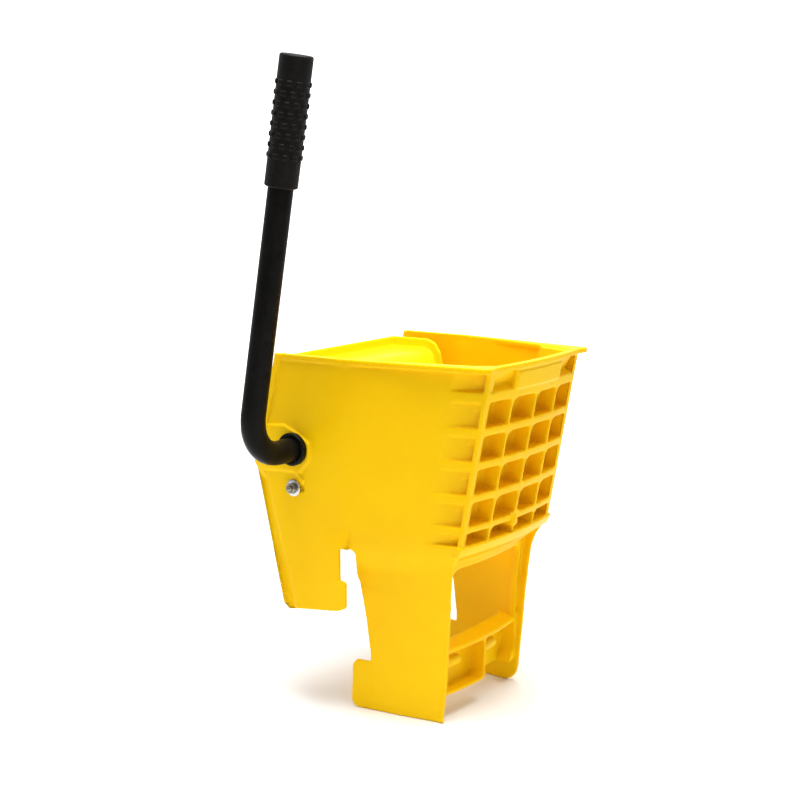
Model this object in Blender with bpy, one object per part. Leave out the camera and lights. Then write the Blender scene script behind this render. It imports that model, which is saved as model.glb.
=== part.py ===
"""Side-press mop wringer, built as separate pieces around one handle shaft.

Metres, +Z up. +X is the front (the ribbed wall), -Y the side that carries the handle.
Sizes below are in millimetres in a working frame whose z = 0 is the bottom of the front
legs, y = 0 the middle plane and x = 0 close to the lower cross rod; everything is moved
by SHIFT at the end so that the origin is the bottom centre of the bounding box.
"""
import bpy
import bmesh
from math import pi, sin, cos, tan, atan2, radians, degrees, sqrt, hypot, acos
from mathutils import Vector, Matrix

MM = 0.001
SHIFT = (-87.6, 38.0, 0.0)

# main sizes
RIM_Z = 382.0            # top of the hopper rim
PLATE_Y = 122.0          # outer face of the side plates
PLATE_T = 5.0
WALL_T = 4.5
SHAFT = (2.5, 282.5)     # x, z of the handle shaft
TUBE_R = 12.7
TUBE_BORE = 11.2
HANDLE_Y = -199.0        # plane in which the handle stands
BEND_R = 50.0
LEAN = 9.7               # handle leans forward, degrees
GRIP_LEN = 126.0
GRIP_R = 17.0
HANDLE_TOP = 681.0
ROD = (0.5, 240.0)       # x, z of the lower cross rod
ROD_R = 3.0
MODULE = 3.0
PINION_N = 22
SECTOR_N = 58
CENTRES = MODULE * (PINION_N + SECTOR_N) / 2.0
HINGE_X = 90.0
HINGE = (HINGE_X, SHAFT[1] - sqrt(CENTRES ** 2 - (HINGE_X - SHAFT[0]) ** 2))
GAP = 0.3
RUN = 0.1                # radial running clearance

for ob in list(bpy.data.objects):
    bpy.data.objects.remove(ob)

scene = bpy.context.scene
main = bpy.data.collections.new("side_press_wringer")
cutters = bpy.data.collections.new("cutters")
scene.collection.children.link(main)
scene.collection.children.link(cutters)


def material(name, rgb, rough, metal=0.0):
    m = bpy.data.materials.new(name)
    m.use_nodes = True
    b = m.node_tree.nodes["Principled BSDF"]
    b.inputs["Base Color"].default_value = (*rgb, 1.0)
    b.inputs["Roughness"].default_value = rough
    b.inputs["Metallic"].default_value = metal
    m.diffuse_color = (*rgb, 1.0)
    return m


YELLOW = (0.93, 0.56, 0.01)
BLACK = (0.012, 0.011, 0.010)
STEEL = (0.55, 0.55, 0.54)


def obj_from_bm(bm, name, cutter=False):
    bmesh.ops.remove_doubles(bm, verts=bm.verts, dist=0.0005)
    bmesh.ops.recalc_face_normals(bm, faces=bm.faces)
    me = bpy.data.meshes.new(name)
    bm.to_mesh(me)
    bm.free()
    ob = bpy.data.objects.new(name, me)
    (cutters if cutter else main).objects.link(ob)
    if cutter:
        ob.hide_render = True
        ob.display_type = 'WIRE'
    return ob


def rings(name, ring_list, cutter=True):
    """Closed solid through rings of equal point count."""
    bm = bmesh.new()
    rows = [[bm.verts.new(p) for p in r] for r in ring_list]
    n = len(rows[0])
    for a, b in zip(rows, rows[1:]):
        for i in range(n):
            j = (i + 1) % n
            bm.faces.new((a[i], a[j], b[j], b[i]))
    bm.faces.new(rows[0])
    bm.faces.new(rows[-1])
    return obj_from_bm(bm, name, cutter)


def prism_y(name, poly, y0, y1, cutter=True):
    """Outline in the XZ plane, carried from y0 to y1."""
    return rings(name, [[(x, y0, z) for x, z in poly], [(x, y1, z) for x, z in poly]], cutter)


def prism_z(name, poly, z0, z1, cutter=True):
    return rings(name, [[(x, y, z0) for x, y in poly], [(x, y, z1) for x, y in poly]], cutter)


def box(name, lo, hi, cutter=True):
    return prism_z(name, [(lo[0], lo[1]), (hi[0], lo[1]), (hi[0], hi[1]), (lo[0], hi[1])],
                   lo[2], hi[2], cutter)


def circle(r, n, cx=0.0, cz=0.0, start=0.0):
    return [(cx + r * cos(start + 2 * pi * i / n), cz + r * sin(start + 2 * pi * i / n))
            for i in range(n)]


def cyl_y(name, x, z, r, y0, y1, n=32, cutter=True, start=0.0):
    return prism_y(name, circle(r, n, x, z, start), y0, y1, cutter)


def lathe_y(name, x, z, profile, n=32, cutter=False):
    """Profile is a closed loop of (radius, y) pairs, none on the axis."""
    bm = bmesh.new()
    rows = []
    for i in range(n):
        a = 2 * pi * i / n
        rows.append([bm.verts.new((x + r * cos(a), y, z + r * sin(a))) for r, y in profile])
    m = len(profile)
    for i in range(n):
        a, b = rows[i], rows[(i + 1) % n]
        for k in range(m):
            l = (k + 1) % m
            bm.faces.new((a[k], a[l], b[l], b[k]))
    return obj_from_bm(bm, name, cutter)


def round_poly(poly, radii, seg=4):
    """Round the corners of a polygon; radii maps index to radius."""
    out = []
    n = len(poly)
    for i, p in enumerate(poly):
        r = radii.get(i, 0.0)
        if r <= 0:
            out.append(p)
            continue
        p = Vector(p)
        a = (Vector(poly[i - 1]) - p).normalized()
        b = (Vector(poly[(i + 1) % n]) - p).normalized()
        half = acos(max(-1.0, min(1.0, a.dot(b)))) / 2.0
        d = r / tan(half)
        c = p + (a + b).normalized() * (r / sin(half))
        t0, t1 = p + a * d - c, p + b * d - c
        a0 = atan2(t0.y, t0.x)
        da = (atan2(t1.y, t1.x) - a0 + pi) % (2 * pi) - pi
        out += [(c.x + r * cos(a0 + da * k / seg), c.y + r * sin(a0 + da * k / seg))
                for k in range(seg + 1)]
    return out


def boolean(target, tools, op):
    for t in tools:
        mod = target.modifiers.new("cut", 'BOOLEAN')
        mod.operation = op
        mod.solver = 'EXACT'
        mod.object = t
        bpy.context.view_layer.update()
        dg = bpy.context.evaluated_depsgraph_get()
        me = bpy.data.meshes.new_from_object(target.evaluated_get(dg))
        target.modifiers.clear()
        old = target.data
        target.data = me
        bpy.data.meshes.remove(old)
        bm = bmesh.new()
        bm.from_mesh(me)
        bmesh.ops.remove_doubles(bm, verts=bm.verts, dist=0.0005)
        bmesh.ops.dissolve_degenerate(bm, edges=bm.edges, dist=0.0005)
        bm.to_mesh(me)
        bm.free()
    return target


def finish(ob, name, mat, origin=None):
    """Name, material, origin on the joint axis, smooth shading by angle."""
    ob.name = name
    ob.data.name = name
    ob.data.materials.clear()
    ob.data.materials.append(mat)
    if ob.name not in main.objects:
        main.objects.link(ob)
    if ob.name in cutters.objects:
        cutters.objects.unlink(ob)
    ob.hide_render = False
    ob.display_type = 'TEXTURED'
    if origin:
        ob.data.transform(Matrix.Translation(-Vector(origin)))
        ob.location = Vector(origin)
    return ob


M_BODY = material("yellow_plastic", YELLOW, 0.38)
M_JAW = material("yellow_press_plastic", YELLOW, 0.36)
M_TUBE = material("black_painted_steel", BLACK, 0.3)
M_GRIP = material("black_grip_rubber", (0.02, 0.018, 0.016), 0.6)
M_BUSH = material("black_bushing_plastic", BLACK, 0.4)
M_GEAR = material("black_gear_plastic", (0.03, 0.03, 0.03), 0.45)
M_ZINC = material("zinc_steel", STEEL, 0.3, 1.0)
M_SPRING = material("spring_steel", (0.45, 0.45, 0.45), 0.35, 1.0)

SHAFT_O = (SHAFT[0], 0.0, SHAFT[1])
HINGE_O = (HINGE[0], 0.0, HINGE[1])

# --------------------------------------------------------------- hopper body
PLATE = [(-22, RIM_Z), (-33, 339), (-53, 269.5), (-43, 228), (-34, 189), (-15.5, 112), (-9, 105.8),
         (7, 108.5), (55, 113.7), (66, 118), (66, 147), (58, 147), (58, 182), (70, 182), (70, RIM_Z)]
plate_poly = round_poly(PLATE, {0: 5, 2: 5, 5: 4, 9: 4, 10: 3}, 3)
EDGE = [(-21.5, RIM_Z), (-52.6, 269.5), (-9.6, 107.6), (-1.2, 108.8), (-43.5, 269.5), (-12.5, RIM_Z)]

# side wall sections: z, then (x, y) at the back, at the bend and at the front, outer skin
WALL = [(RIM_Z, (60, 122), (82, 119.5), (223, 92)),
        (300, (60, 122), (82, 118.5), (208, 92)),
        (215, (60, 121.6), (82, 116.5), (192.3, 92)),
        (197, (60, 121.0), (82, 115), (189, 92)),
        (184, (61, 119.0), (83, 111.5), (184, 90)),
        (172, (63, 112.0), (85, 104), (177, 86.5)),
        (159, (63, 102.0), (88, 96.5), (173, 84.5)),
        (140, (65, 94.0), (100, 91.3), (171, 83)),
        (107, (68, 89.0), (105, 87.2), (168.3, 81)),
        (65, (74, 88.0), (107, 86.0), (165.3, 80)),
        (30, (74, 88.0), (107, 85.9), (162, 79.6)),
        (0, (74, 88.0), (107, 85.6), (159, 79))]


def wall_y(x, z):
    """Outer skin of the side wall in front of its first bend."""
    for (z1, b1, m1, f1), (z0, b0, m0, f0) in zip(WALL, WALL[1:]):
        if z0 <= z <= z1:
            t = (z - z0) / (z1 - z0)
            mx, my = m0[0] + (m1[0] - m0[0]) * t, m0[1] + (m1[1] - m0[1]) * t
            fx, fy = f0[0] + (f1[0] - f0[0]) * t, f0[1] + (f1[1] - f0[1]) * t
            return my + (fy - my) * (x - mx) / (fx - mx)
    return 0.0



def side_wall(s):
    ring_list = []
    for z, b, m, f in WALL:
        t = WALL_T
        ring_list.append([(b[0], s * b[1], z), (m[0], s * m[1], z), (f[0], s * f[1], z),
                          (f[0], s * (f[1] - t), z), (m[0], s * (m[1] - t), z),
                          (b[0], s * (b[1] - t), z)])
    return rings("wall", ring_list)


FRONT_X0, FRONT_Z0, FRONT_SLOPE = 189.0, 197.0, 0.184
FRONT_T = 24.0
HALF_FRONT = 91.5


def front_x(z):
    return FRONT_X0 + (z - FRONT_Z0) * FRONT_SLOPE


body = rings("hopper_body", [[(front_x(z) - FRONT_T, -HALF_FRONT + 2, z), (front_x(z), -HALF_FRONT, z),
                              (front_x(z), HALF_FRONT, z), (front_x(z) - FRONT_T, HALF_FRONT - 2, z)]
                             for z in (187.0, RIM_Z - 0.5)], cutter=False)

add = []
for s in (-1, 1):
    add.append(side_wall(s))
    add.append(prism_y("plate", plate_poly, s * PLATE_Y, s * (PLATE_Y - PLATE_T)))
    # raised back edge bead
    add.append(prism_y("bead", EDGE, s * (PLATE_Y + 2.5), s * (PLATE_Y - 2.0)))
    # foot with its rearward hook, following the lower wall
    foot = round_poly([(57, 53), (52.5, 47), (51, 6), (57, 0), (149, 0), (155, 10), (162, 30),
                       (164, 53)], {0: 2, 1: 3, 2: 4, 3: 4, 4: 5, 5: 4}, 3)
    add.append(rings("foot", [[(x, s * (88.3 - (x - 74) * 0.1055), z) for x, z in foot],
                              [(x, s * (83.6 - (x - 74) * 0.1055), z) for x, z in foot]]))
    # pad round the shaft bushing and the small rib under it
    pad = [(-46, 304), (-11, 306.5), (3, 301), (22, 290), (22, 272), (10, 258), (-18, 257), (-47, 255)]
    add.append(prism_y("pad", pad, s * (PLATE_Y + 2.5), s * (PLATE_Y - 2.0)))
    rib = [(1, 259), (5, 260), (15, 248.5), (12, 246.5)]
    add.append(prism_y("pad_rib", rib, s * (PLATE_Y + 2.0), s * (PLATE_Y - 2.0)))
    # boss that holds the jaw hinge rod
    add.append(cyl_y("boss", HINGE[0], HINGE[1], 12.0, s * 103.2, s * 111.5, 28))
    # floor is one slab, added once below

# the front corners of the hopper are filled on the inside
CORNER_X, CORNER_Y = 28.0, 72.0


def inner_y(x, z):
    """Half width of the hopper's inside, between its wide back and its corner fill."""
    xf = front_x(z) - FRONT_T
    return 100.0 - 14.0 * (x - 100.0) / (xf - 100.0)


for s in (-1, 1):
    secs = []
    for z in (174.5, 184.0, 197.0, 215.0, 302.0, 380.0):
        xf = front_x(z) - FRONT_T
        xa, xb = xf - CORNER_X - 2.5, xf + 1.5
        xo = xf + FRONT_T - 9.0
        secs.append([(xa, s * (wall_y(xa, z) - 3.0), z), (xb, s * (CORNER_Y - 1.5), z),
                     (xo, s * 84.0, z), (xo, s * (wall_y(xo, z) - 2.1), z),
                     (xa, s * (wall_y(xa, z) - 2.0), z)])
    add.append(rings("corner_fill", secs))

# rim: flat lip round the top
RIM_OUT = [(-22.5, -124), (60, -124), (100, -119.6), (226, -103), (228, -101), (228, 101), (226, 103),
           (100, 119.6), (60, 124), (-22.5, 124)]
RIM_IN = [(-30, -117.5), (60, -117.5), (82, -115.5), (199, -88.5), (199, 88.5), (82, 115.5),
          (60, 117.5), (-30, 117.5)]
rim = prism_z("rim", RIM_OUT, RIM_Z - 5.5, RIM_Z)
boolean(rim, [prism_z("rim_in", RIM_IN, RIM_Z - 20, RIM_Z + 20)], 'DIFFERENCE')
add.append(rim)

# lip round the foot of the ribbed wall
add.append(rings("lip", [[(166.5, -87.5, 183.3), (185.5, -93.8, 183.3), (185.5, 93.8, 183.3),
                          (166.5, 87.5, 183.3)],
                         [(166.5, -88.0, 195), (191.5, -94.5, 195), (191.5, 94.5, 195),
                          (166.5, 88.0, 195)]]))
# floor
FLOOR_Z0, FLOOR_Z1 = 172.0, 177.0
floor_poly = [(68, -107), (86, -101.5), (172, -85), (172, 85), (86, 101.5), (68, 107)]
add.append(prism_z("floor", floor_poly, FLOOR_Z0, FLOOR_Z1))
# front frame between the legs, and the beam at its foot
FRAME_X = 156.0
FRAME = ((26, 0.0, 7.0, 77.5), (105, 2.5, 8.0, 79.5), (186, 10.5, 8.5, 82.5))
add.append(rings("frame", [[(FRAME_X + dx - t, -w, z), (FRAME_X + dx, -w, z), (FRAME_X + dx, w, z),
                            (FRAME_X + dx - t, w, z)] for z, dx, t, w in FRAME]))
add.append(box("sill", (162.0, -83.5, 175.0), (171.0, 83.5, 188.0)))
add.append(box("beam", (FRAME_X - 22, -78.0, 26), (FRAME_X + 0.4, 78.0, 76)))
boolean(body, add, 'UNION')

cut = []
# inside of the hopper stays clear behind the ribbed wall: the lip slab is cut back
inner = []
for z in (FLOOR_Z1, RIM_Z + 5):
    xf = front_x(z) - FRONT_T
    xc = xf - CORNER_X
    yc = inner_y(xc, z)
    inner.append([(62, -100, z), (100, -100, z), (xc, -yc, z), (xf, -CORNER_Y, z), (xf, CORNER_Y, z),
                  (xc, yc, z), (100, 100, z), (62, 100, z)])
cut.append(rings("hopper_inside", inner))
# slot over the bucket rim between plate and leg
slot = round_poly([(58, 147.2), (58, 182), (67.5, 182), (71.5, 177.5), (69.5, 169), (65, 158), (64, 147.2)],
                  {2: 3}, 2)
for s in (-1, 1):
    cut.append(prism_y("slot", slot, s * 90, s * 130))
# window in the frame
win = round_poly([(-71, 76), (71, 76), (71, 163), (-71, 163)], {2: 14, 3: 14}, 4)
cut.append(rings("window", [[(120, y, z) for y, z in win], [(185, y, z) for y, z in win]]))
# two pockets in the front of the beam: the near one closed at its foot, the far one open
NEAR_PK = ([(-73, 29), (-1.5, 29), (-1.5, 71.5), (-73, 71.5)], {0: 4, 1: 6, 2: 4, 3: 4})
FAR_PK = ([(1.5, 20), (58, 20), (63, 31), (74, 38), (74, 71.5), (1.5, 71.5)], {2: 6, 3: 7, 4: 4, 5: 4})
for outline, radii in (NEAR_PK, FAR_PK):
    pk = round_poly(outline, radii, 3)
    cut.append(rings("pocket", [[(FRAME_X - 17, y, z) for y, z in pk],
                                [(FRAME_X + 15, y, z) for y, z in pk]]))
# underside of the beam is hollow behind its front web
cut.append(box("beam_under", (FRAME_X - 30, -70, 20), (FRAME_X - 21, 70, 71.5)))
# the far foot is well rounded at its front
arc = [(142.5 + 18 * sin(radians(a)), 18 - 18 * cos(radians(a))) for a in range(0, 86, 17)]
cut.append(prism_y("foot_round", [(142.5, -3)] + arc[1:] + [(175, arc[-1][1] + 1), (175, -3)], 70, 95))
# grooves between the frame and the legs
for s in (-1, 1):
    secs = []
    for z in (80.0, 105.0, 166.0):
        xg = FRAME_X + (0.0 if z < 90 else 2.5 if z < 110 else 8.5)
        y0 = 74.0 + (z - 80) * 0.02
        secs.append([(xg - 3.5, s * y0, z), (xg + 12, s * y0, z), (xg + 12, s * (y0 + 2.2), z),
                     (xg - 3.5, s * (y0 + 2.2), z)])
    cut.append(rings("groove", secs))
# ribbed wall: pockets, and the recess of its side ends
ROW_TOP = [346.0, 311.2, 276.4, 241.6, 209.0]
ROW_H = [27.0, 27.0, 27.0, 26.0, 13.5]
COL = 45.75
RIB = 1.6
END_Y, STEP_Y, STEP_X = 88.5, 79.5, 3.5     # end cells narrow behind their front flange
for top, h in zip(ROW_TOP, ROW_H):
    for c in range(4):
        ya = -2 * COL + c * COL + RIB
        yb = -2 * COL + (c + 1) * COL - RIB
        secs = []
        for z in (top - h, top):
            x = front_x(z)
            lo = [(x - 19.5, ya), (x + 9, ya)]
            hi = [(x + 9, yb), (x - 19.5, yb)]
            if c == 0:
                lo = [(x - 19.5, -STEP_Y), (x - STEP_X, -STEP_Y), (x, -END_Y), (x + 9, -END_Y)]
            if c == 3:
                hi = [(x + 9, END_Y), (x, END_Y), (x - STEP_X, STEP_Y), (x - 19.5, STEP_Y)]
            secs.append([(px, py, z) for px, py in lo + hi])
        cut.append(rings("cell", secs))
# the two end cells of the top row, with a sloping sill, either side of the plain pad
for s in (-1, 1):
    z0, z1 = 354.0, 376.0
    ya, yb = s * (COL + 1.5), s * STEP_Y
    prof = [(front_x(z0) + 9, z0 - 2), (front_x(z1) + 9, z1), (front_x(z1) - 15, z1),
            (front_x(z0) - 13, z0 + 8)]
    cut.append(prism_y("top_cell", prof, min(ya, yb), max(ya, yb)))
    cut.append(rings("top_cell_end", [
        [(front_x(z) - STEP_X - 0.3, s * (STEP_Y - 1.5), z), (front_x(z) - 0.2, s * (END_Y - 0.2), z),
         (front_x(z) + 9, s * (END_Y - 0.2), z), (front_x(z) + 9, s * (STEP_Y - 1.5), z)]
        for z in (z0 + 1.1, z1 - 0.4)]))
    # shallow recesses between the ribs where they wrap on to the side
    for top, h in list(zip(ROW_TOP, ROW_H)) + [(376.0, 20.0)]:
        z0, z1 = top - h, top
        z0, z1 = z0 + 0.6, z1 - 0.5
        xa0, xa1 = front_x(z0), front_x(z1)
        cut.append(rings("side_recess", [
            [(xa0 - 43.0, s * (wall_y(xa0 - 43.0, z0) + 0.8), z0), (xa0 - 4.2, s * 83.2, z0),
             (xa0 - 4.2, s * 106, z0)],
            [(xa1 - 39.0, s * (wall_y(xa1 - 39.0, z1) + 0.8), z1), (xa1 - 4.2, s * 85.2, z1),
             (xa1 - 4.2, s * 106, z1)]]))
# holes: shaft bushing, slotted rod hole, hinge rod, drain slots
for s in (-1, 1):
    cut.append(cyl_y("shaft_hole", SHAFT[0], SHAFT[1], 15.2, s * 100, s * 140, 40))
    rs = [(ROD[0] + 3.4 * cos(a), ROD[1] + 3.4 * sin(a)) for a in
          [pi / 2 + pi * k / 8 for k in range(9)]]
    rs += [(ROD[0] + 10 + 3.4 * cos(a), ROD[1] + 3.4 * sin(a)) for a in
           [-pi / 2 + pi * k / 8 for k in range(9)]]
    cut.append(prism_y("rod_slot", rs, s * 110, s * 130))
    cut.append(cyl_y("hinge_hole", HINGE[0], HINGE[1], 4.0 + RUN, s * 90, s * 108.3, 24))
for i in range(7):
    for j in range(2):
        y = -72 + 24 * i
        x = 84 + 42 * j
        cut.append(box("drain", (x, y - 4, FLOOR_Z0 - 5), (x + 28, y + 4, FLOOR_Z1 + 5)))
boolean(body, cut, 'DIFFERENCE')

add2 = [cyl_y("stub_a", FRAME_X - 8.5, 58.5, 6.0, -75.0, -40, 20),
        cyl_y("stub_b", FRAME_X - 8.5, 58.5, 6.0, 0.0, 31, 20),
        rings("nib", [[(front_x(224) - 22, -8.5, 218), (front_x(224) - 22, 2.5, 218),
                       (front_x(224) - 22, 2.5, 206), (front_x(224) - 22, -8.5, 206)],
                      [(front_x(212) + 0.6, -8, 217), (front_x(212) + 0.6, 2, 217),
                       (front_x(212) + 0.6, 2, 207), (front_x(212) + 0.6, -8, 207)]])]
boolean(body, add2, 'UNION')
finish(body, "hopper_body", M_BODY)

# --------------------------------------------------------------- press plate (jaw)
JAW_Y = 101.5
FACE = [(34.0, 350.0), (98.0, 203.0)]


def on_face(t, off=0.0):
    """Point on the press face line, moved off along its forward normal."""
    (x0, z0), (x1, z1) = FACE
    dx, dz = x1 - x0, z1 - z0
    n = hypot(dx, dz)
    return (x0 + dx * t - dz / n * off, z0 + dz * t + dx / n * off)


skin = [(-26, 377), (-22, 377), (-22, 365.5)]
skin += [(19 + 15 * sin(radians(a)), 350.5 + 15 * cos(radians(a))) for a in range(0, 67, 11)]
skin += [on_face(1.0), (100.5, 196), (98, 189.5), (90, 188.6), (86, 190.5)]
skin += [(93.5, 201), on_face(0.0, -4.5)]
skin += [(18 + 10.5 * sin(radians(a)), 350.5 + 10.5 * cos(radians(a))) for a in range(55, -1, -11)]
skin += [(-22, 361), (-22, 352), (-26, 352)]
jaw = prism_y("press_plate", skin, -JAW_Y + 1, JAW_Y - 1, cutter=False)

flange = [(-26, 377), (24, 377), (34, 373), (41, 362), (43.5, 350), on_face(0.35, 9), on_face(0.99, 9),
          (104, 191), (96, 187.2), (88, 187.4), (78, 190), (60, 198), (47, 226), (33, 252), (27, 270),
          (27, 300), (-4, 330), (-26, 345)]
flange = round_poly(flange, {1: 10, 2: 6, 11: 10, 15: 8}, 3)
jadd = []
for s in (-1, 1):
    jadd.append(prism_y("flange", flange, s * JAW_Y, s * (JAW_Y - 4.0)))
    jadd.append(cyl_y("lug", HINGE[0], HINGE[1], 11.0, s * (JAW_Y - 0.2), s * (JAW_Y - 16.0), 28))
    # ears and bar that the return spring hooks on
    for e in (-1, 1):
        yc = s * 55 + e * 11
        ear = [(41, 296), (38.5, 288), (44, 283), (62, 283), (57, 300)]
        jadd.append(prism_y("ear", ear, yc - 1.75, yc + 1.75))
    jadd.append(cyl_y("bar", 45.0, 290.0, 3.0, s * 55 - 11.4, s * 55 + 11.4, 18, start=0.13))
# stiffening ribs on the back of the plate
for y in (-30.0, 0.0, 30.0):
    rib = [on_face(0.03, -4.0), on_face(0.92, -4.0), on_face(0.92, -13), on_face(0.5, -20),
           on_face(0.06, -16)]
    jadd.append(prism_y("rib", rib, y - 1.75, y + 1.75))
boolean(jaw, jadd, 'UNION')
SECTOR_Y1 = JAW_Y - 4.0 - GAP            # sector sits against the inside of the flange
SECTOR_T = 6.0
SCREWS = ((66.0, 222.0), (48.0, 244.0))
jcut = [cyl_y("bore", HINGE[0], HINGE[1], 4.0 + 0.15, -120, 120, 28)]
for s in (-1, 1):
    for x, z in SCREWS:
        jcut.append(cyl_y("screw_hole", x, z, 2.5 + GAP, s * (JAW_Y - 8), s * (JAW_Y + 5), 20))
boolean(jaw, jcut, 'DIFFERENCE')
finish(jaw, "press_plate", M_JAW, HINGE_O)


# --------------------------------------------------------------- gears
def gear_outline(n_teeth, centre_angle, gap_at_centre, teeth, backlash=0.12):
    """Involute tooth outline, as (radius, angle) pairs in rising angle."""
    rp = MODULE * n_teeth / 2.0
    rb = rp * cos(radians(20.0))
    ra = rp + 0.8 * MODULE
    rf = rp - 1.1 * MODULE
    inv = tan(radians(20.0)) - radians(20.0)
    half = pi / (2 * n_teeth) - backlash / (2 * rp)
    pitch = 2 * pi / n_teeth
    pts = []
    for k in teeth:
        c = centre_angle + (k + (0.5 if gap_at_centre else 0.0)) * pitch
        flank = []
        for j in range(4):
            r = max(rb, rf) + (ra - max(rb, rf)) * j / 3.0
            al = acos(min(1.0, rb / r))
            flank.append((r, half + inv - (tan(al) - al)))
        if rb > rf:
            flank.insert(0, (rf, flank[0][1]))
        pts += [(r, c - a) for r, a in flank]
        pts += [(r, c + a) for r, a in reversed(flank)]
    return pts


mesh_dir = atan2(HINGE[1] - SHAFT[1], HINGE[0] - SHAFT[0])
PIN_Y = 92.0                             # middle of the pinion hub pin
pin_pts = [(SHAFT[0] + r * cos(a), SHAFT[1] + r * sin(a)) for r, a in
           gear_outline(PINION_N, mesh_dir, False, range(PINION_N))]
sec_pts = [(HINGE[0] + r * cos(a), HINGE[1] + r * sin(a)) for r, a in
           gear_outline(SECTOR_N, mesh_dir + pi, True, range(-2, 7))]
SEC_A = mesh_dir + pi
RW = MODULE * SECTOR_N / 2.0 - 3.3
sec_web = [(HINGE[0] + RW * cos(a), HINGE[1] + RW * sin(a)) for a in (SEC_A - 0.145, SEC_A + 0.78)]

for s, side in ((-1, "near"), (1, "far")):
    # pinion: toothed ring with a hub, cross-drilled for its pin
    g = prism_y("pinion_" + side, pin_pts, s * (SECTOR_Y1 - SECTOR_T - 0.2), s * (SECTOR_Y1 - 0.1), False)
    hub = cyl_y("hub", SHAFT[0], SHAFT[1], 19.0, s * 76.0, s * (SECTOR_Y1 - 1.0), 32)
    boolean(g, [hub], 'UNION')
    holes = [cyl_y("bore", SHAFT[0], SHAFT[1], TUBE_R + GAP / 2, -110, 110, 48)]
    pinhole = prism_z("pin_hole", [(SHAFT[0] + 2.7 * cos(a), s * 83.5 + 2.7 * sin(a)) for a in
                                   [2 * pi * k / 20 for k in range(20)]],
                      SHAFT[1] - 30, SHAFT[1] + 30)
    boolean(g, holes + [pinhole], 'DIFFERENCE')
    finish(g, "pinion_" + side, M_GEAR, SHAFT_O)
    pin = prism_z("pinion_pin_" + side, [(SHAFT[0] + 2.5 * cos(a), s * 83.5 + 2.5 * sin(a)) for a in
                                         [2 * pi * k / 16 for k in range(16)]],
                  SHAFT[1] - 21.5, SHAFT[1] + 21.5, False)
    finish(pin, "pinion_pin_" + side, M_ZINC, SHAFT_O)

    # sector: toothed arc and the web that is screwed to the end of the press plate
    outline = list(sec_pts)
    outline += [sec_web[1], (HINGE[0] - 60, HINGE[1] - 1), (HINGE[0] - 30, HINGE[1] + 4),
                (HINGE[0] - 15, HINGE[1] + 18), (HINGE[0] - 32, HINGE[1] + 52), sec_web[0]]
    sec = prism_y("gear_sector_" + side, outline, s * SECTOR_Y1, s * (SECTOR_Y1 - SECTOR_T), False)
    boolean(sec, [cyl_y("screw_hole", x, z, 2.5 + GAP, s * 80, s * 110, 20) for x, z in SCREWS],
            'DIFFERENCE')
    finish(sec, "gear_sector_" + side, M_GEAR, HINGE_O)
    # two screws through sector and flange, heads inward
    for i, (x, z) in enumerate(SCREWS):
        y0 = SECTOR_Y1 - SECTOR_T - GAP
        sh = cyl_y("shank", x, z, 2.5, s * (y0 - 0.5), s * (JAW_Y - 0.4), 16, cutter=False)
        head = cyl_y("head", x, z, 4.8, s * (y0 - 3.2), s * y0, 16)
        boolean(sh, [head], 'UNION')
        finish(sh, "sector_screw_%s_%d" % (side, i + 1), M_ZINC, HINGE_O)

# --------------------------------------------------------------- hinge rod of the jaw
rodo = cyl_y("jaw_hinge_rod", HINGE[0], HINGE[1], 4.0, -107.8, 107.8, 28, cutter=False)
finish(rodo, "jaw_hinge_rod", M_ZINC, HINGE_O)


# --------------------------------------------------------------- handle tube
def tube_path(y_end):
    """Centre line from the far end of the shaft, round the bend, up the leaning arm."""
    up = Vector((sin(radians(LEAN)), 0, cos(radians(LEAN))))
    start = Vector((SHAFT[0], y_end, SHAFT[1]))
    corner = Vector((SHAFT[0], HANDLE_Y, SHAFT[1]))
    pts = [start, Vector((SHAFT[0], 0.0, SHAFT[1])), Vector((SHAFT[0], -100.0, SHAFT[1]))]
    out = Vector((0, -1, 0))
    c = corner - out * BEND_R + up * BEND_R
    for k in range(13):
        a = radians(90) * k / 12.0
        pts.append(c + out * BEND_R * sin(a) - up * BEND_R * cos(a))
    top = corner + up * ((HANDLE_TOP - 4.0 - SHAFT[1]) / up.z)
    return pts, top, up


def sweep(name, pts, top, r, n, cutter):
    bm = bmesh.new()
    path = pts + [top]
    frame_u = Vector((1, 0, 0))
    rows = []
    for i, p in enumerate(path):
        if i == 0:
            t = path[1] - p
        elif i == len(path) - 1:
            t = p - path[-2]
        else:
            t = (path[i + 1] - p).normalized() + (p - path[i - 1]).normalized()
        t.normalize()
        frame_u = (frame_u - t * frame_u.dot(t)).normalized()
        v = t.cross(frame_u)
        rows.append([bm.verts.new(p + frame_u * r * cos(2 * pi * k / n) + v * r * sin(2 * pi * k / n))
                     for k in range(n)])
    for a, b in zip(rows, rows[1:]):
        for k in range(n):
            l = (k + 1) % n
            bm.faces.new((a[k], a[l], b[l], b[k]))
    bm.faces.new(rows[0])
    bm.faces.new(rows[-1])
    return obj_from_bm(bm, name, cutter)


FAR_END = 140.0
pts, top, up = tube_path(FAR_END)
tube = sweep("handle_tube", pts, top - up * 3.0, TUBE_R, 26, False)
pts2, top2, up = tube_path(FAR_END + 5)
bore = sweep("tube_bore", pts2, top2 + up * 4.0, TUBE_BORE, 18, True)
tcut = [bore]
for s in (-1, 1):
    tcut.append(prism_z("pin_hole", [(SHAFT[0] + 2.7 * cos(a), s * 83.5 + 2.7 * sin(a)) for a in
                                     [2 * pi * k / 20 for k in range(20)]],
                        SHAFT[1] - 30, SHAFT[1] + 30))
COTTER_Y = 136.0
tcut.append(prism_z("cotter_hole", [(SHAFT[0] + 2.0 * cos(a), COTTER_Y + 2.0 * sin(a)) for a in
                                    [2 * pi * k / 16 for k in range(16)]],
                    SHAFT[1] - 30, SHAFT[1] + 30))
boolean(tube, tcut, 'DIFFERENCE')
finish(tube, "handle_tube", M_TUBE, SHAFT_O)

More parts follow.
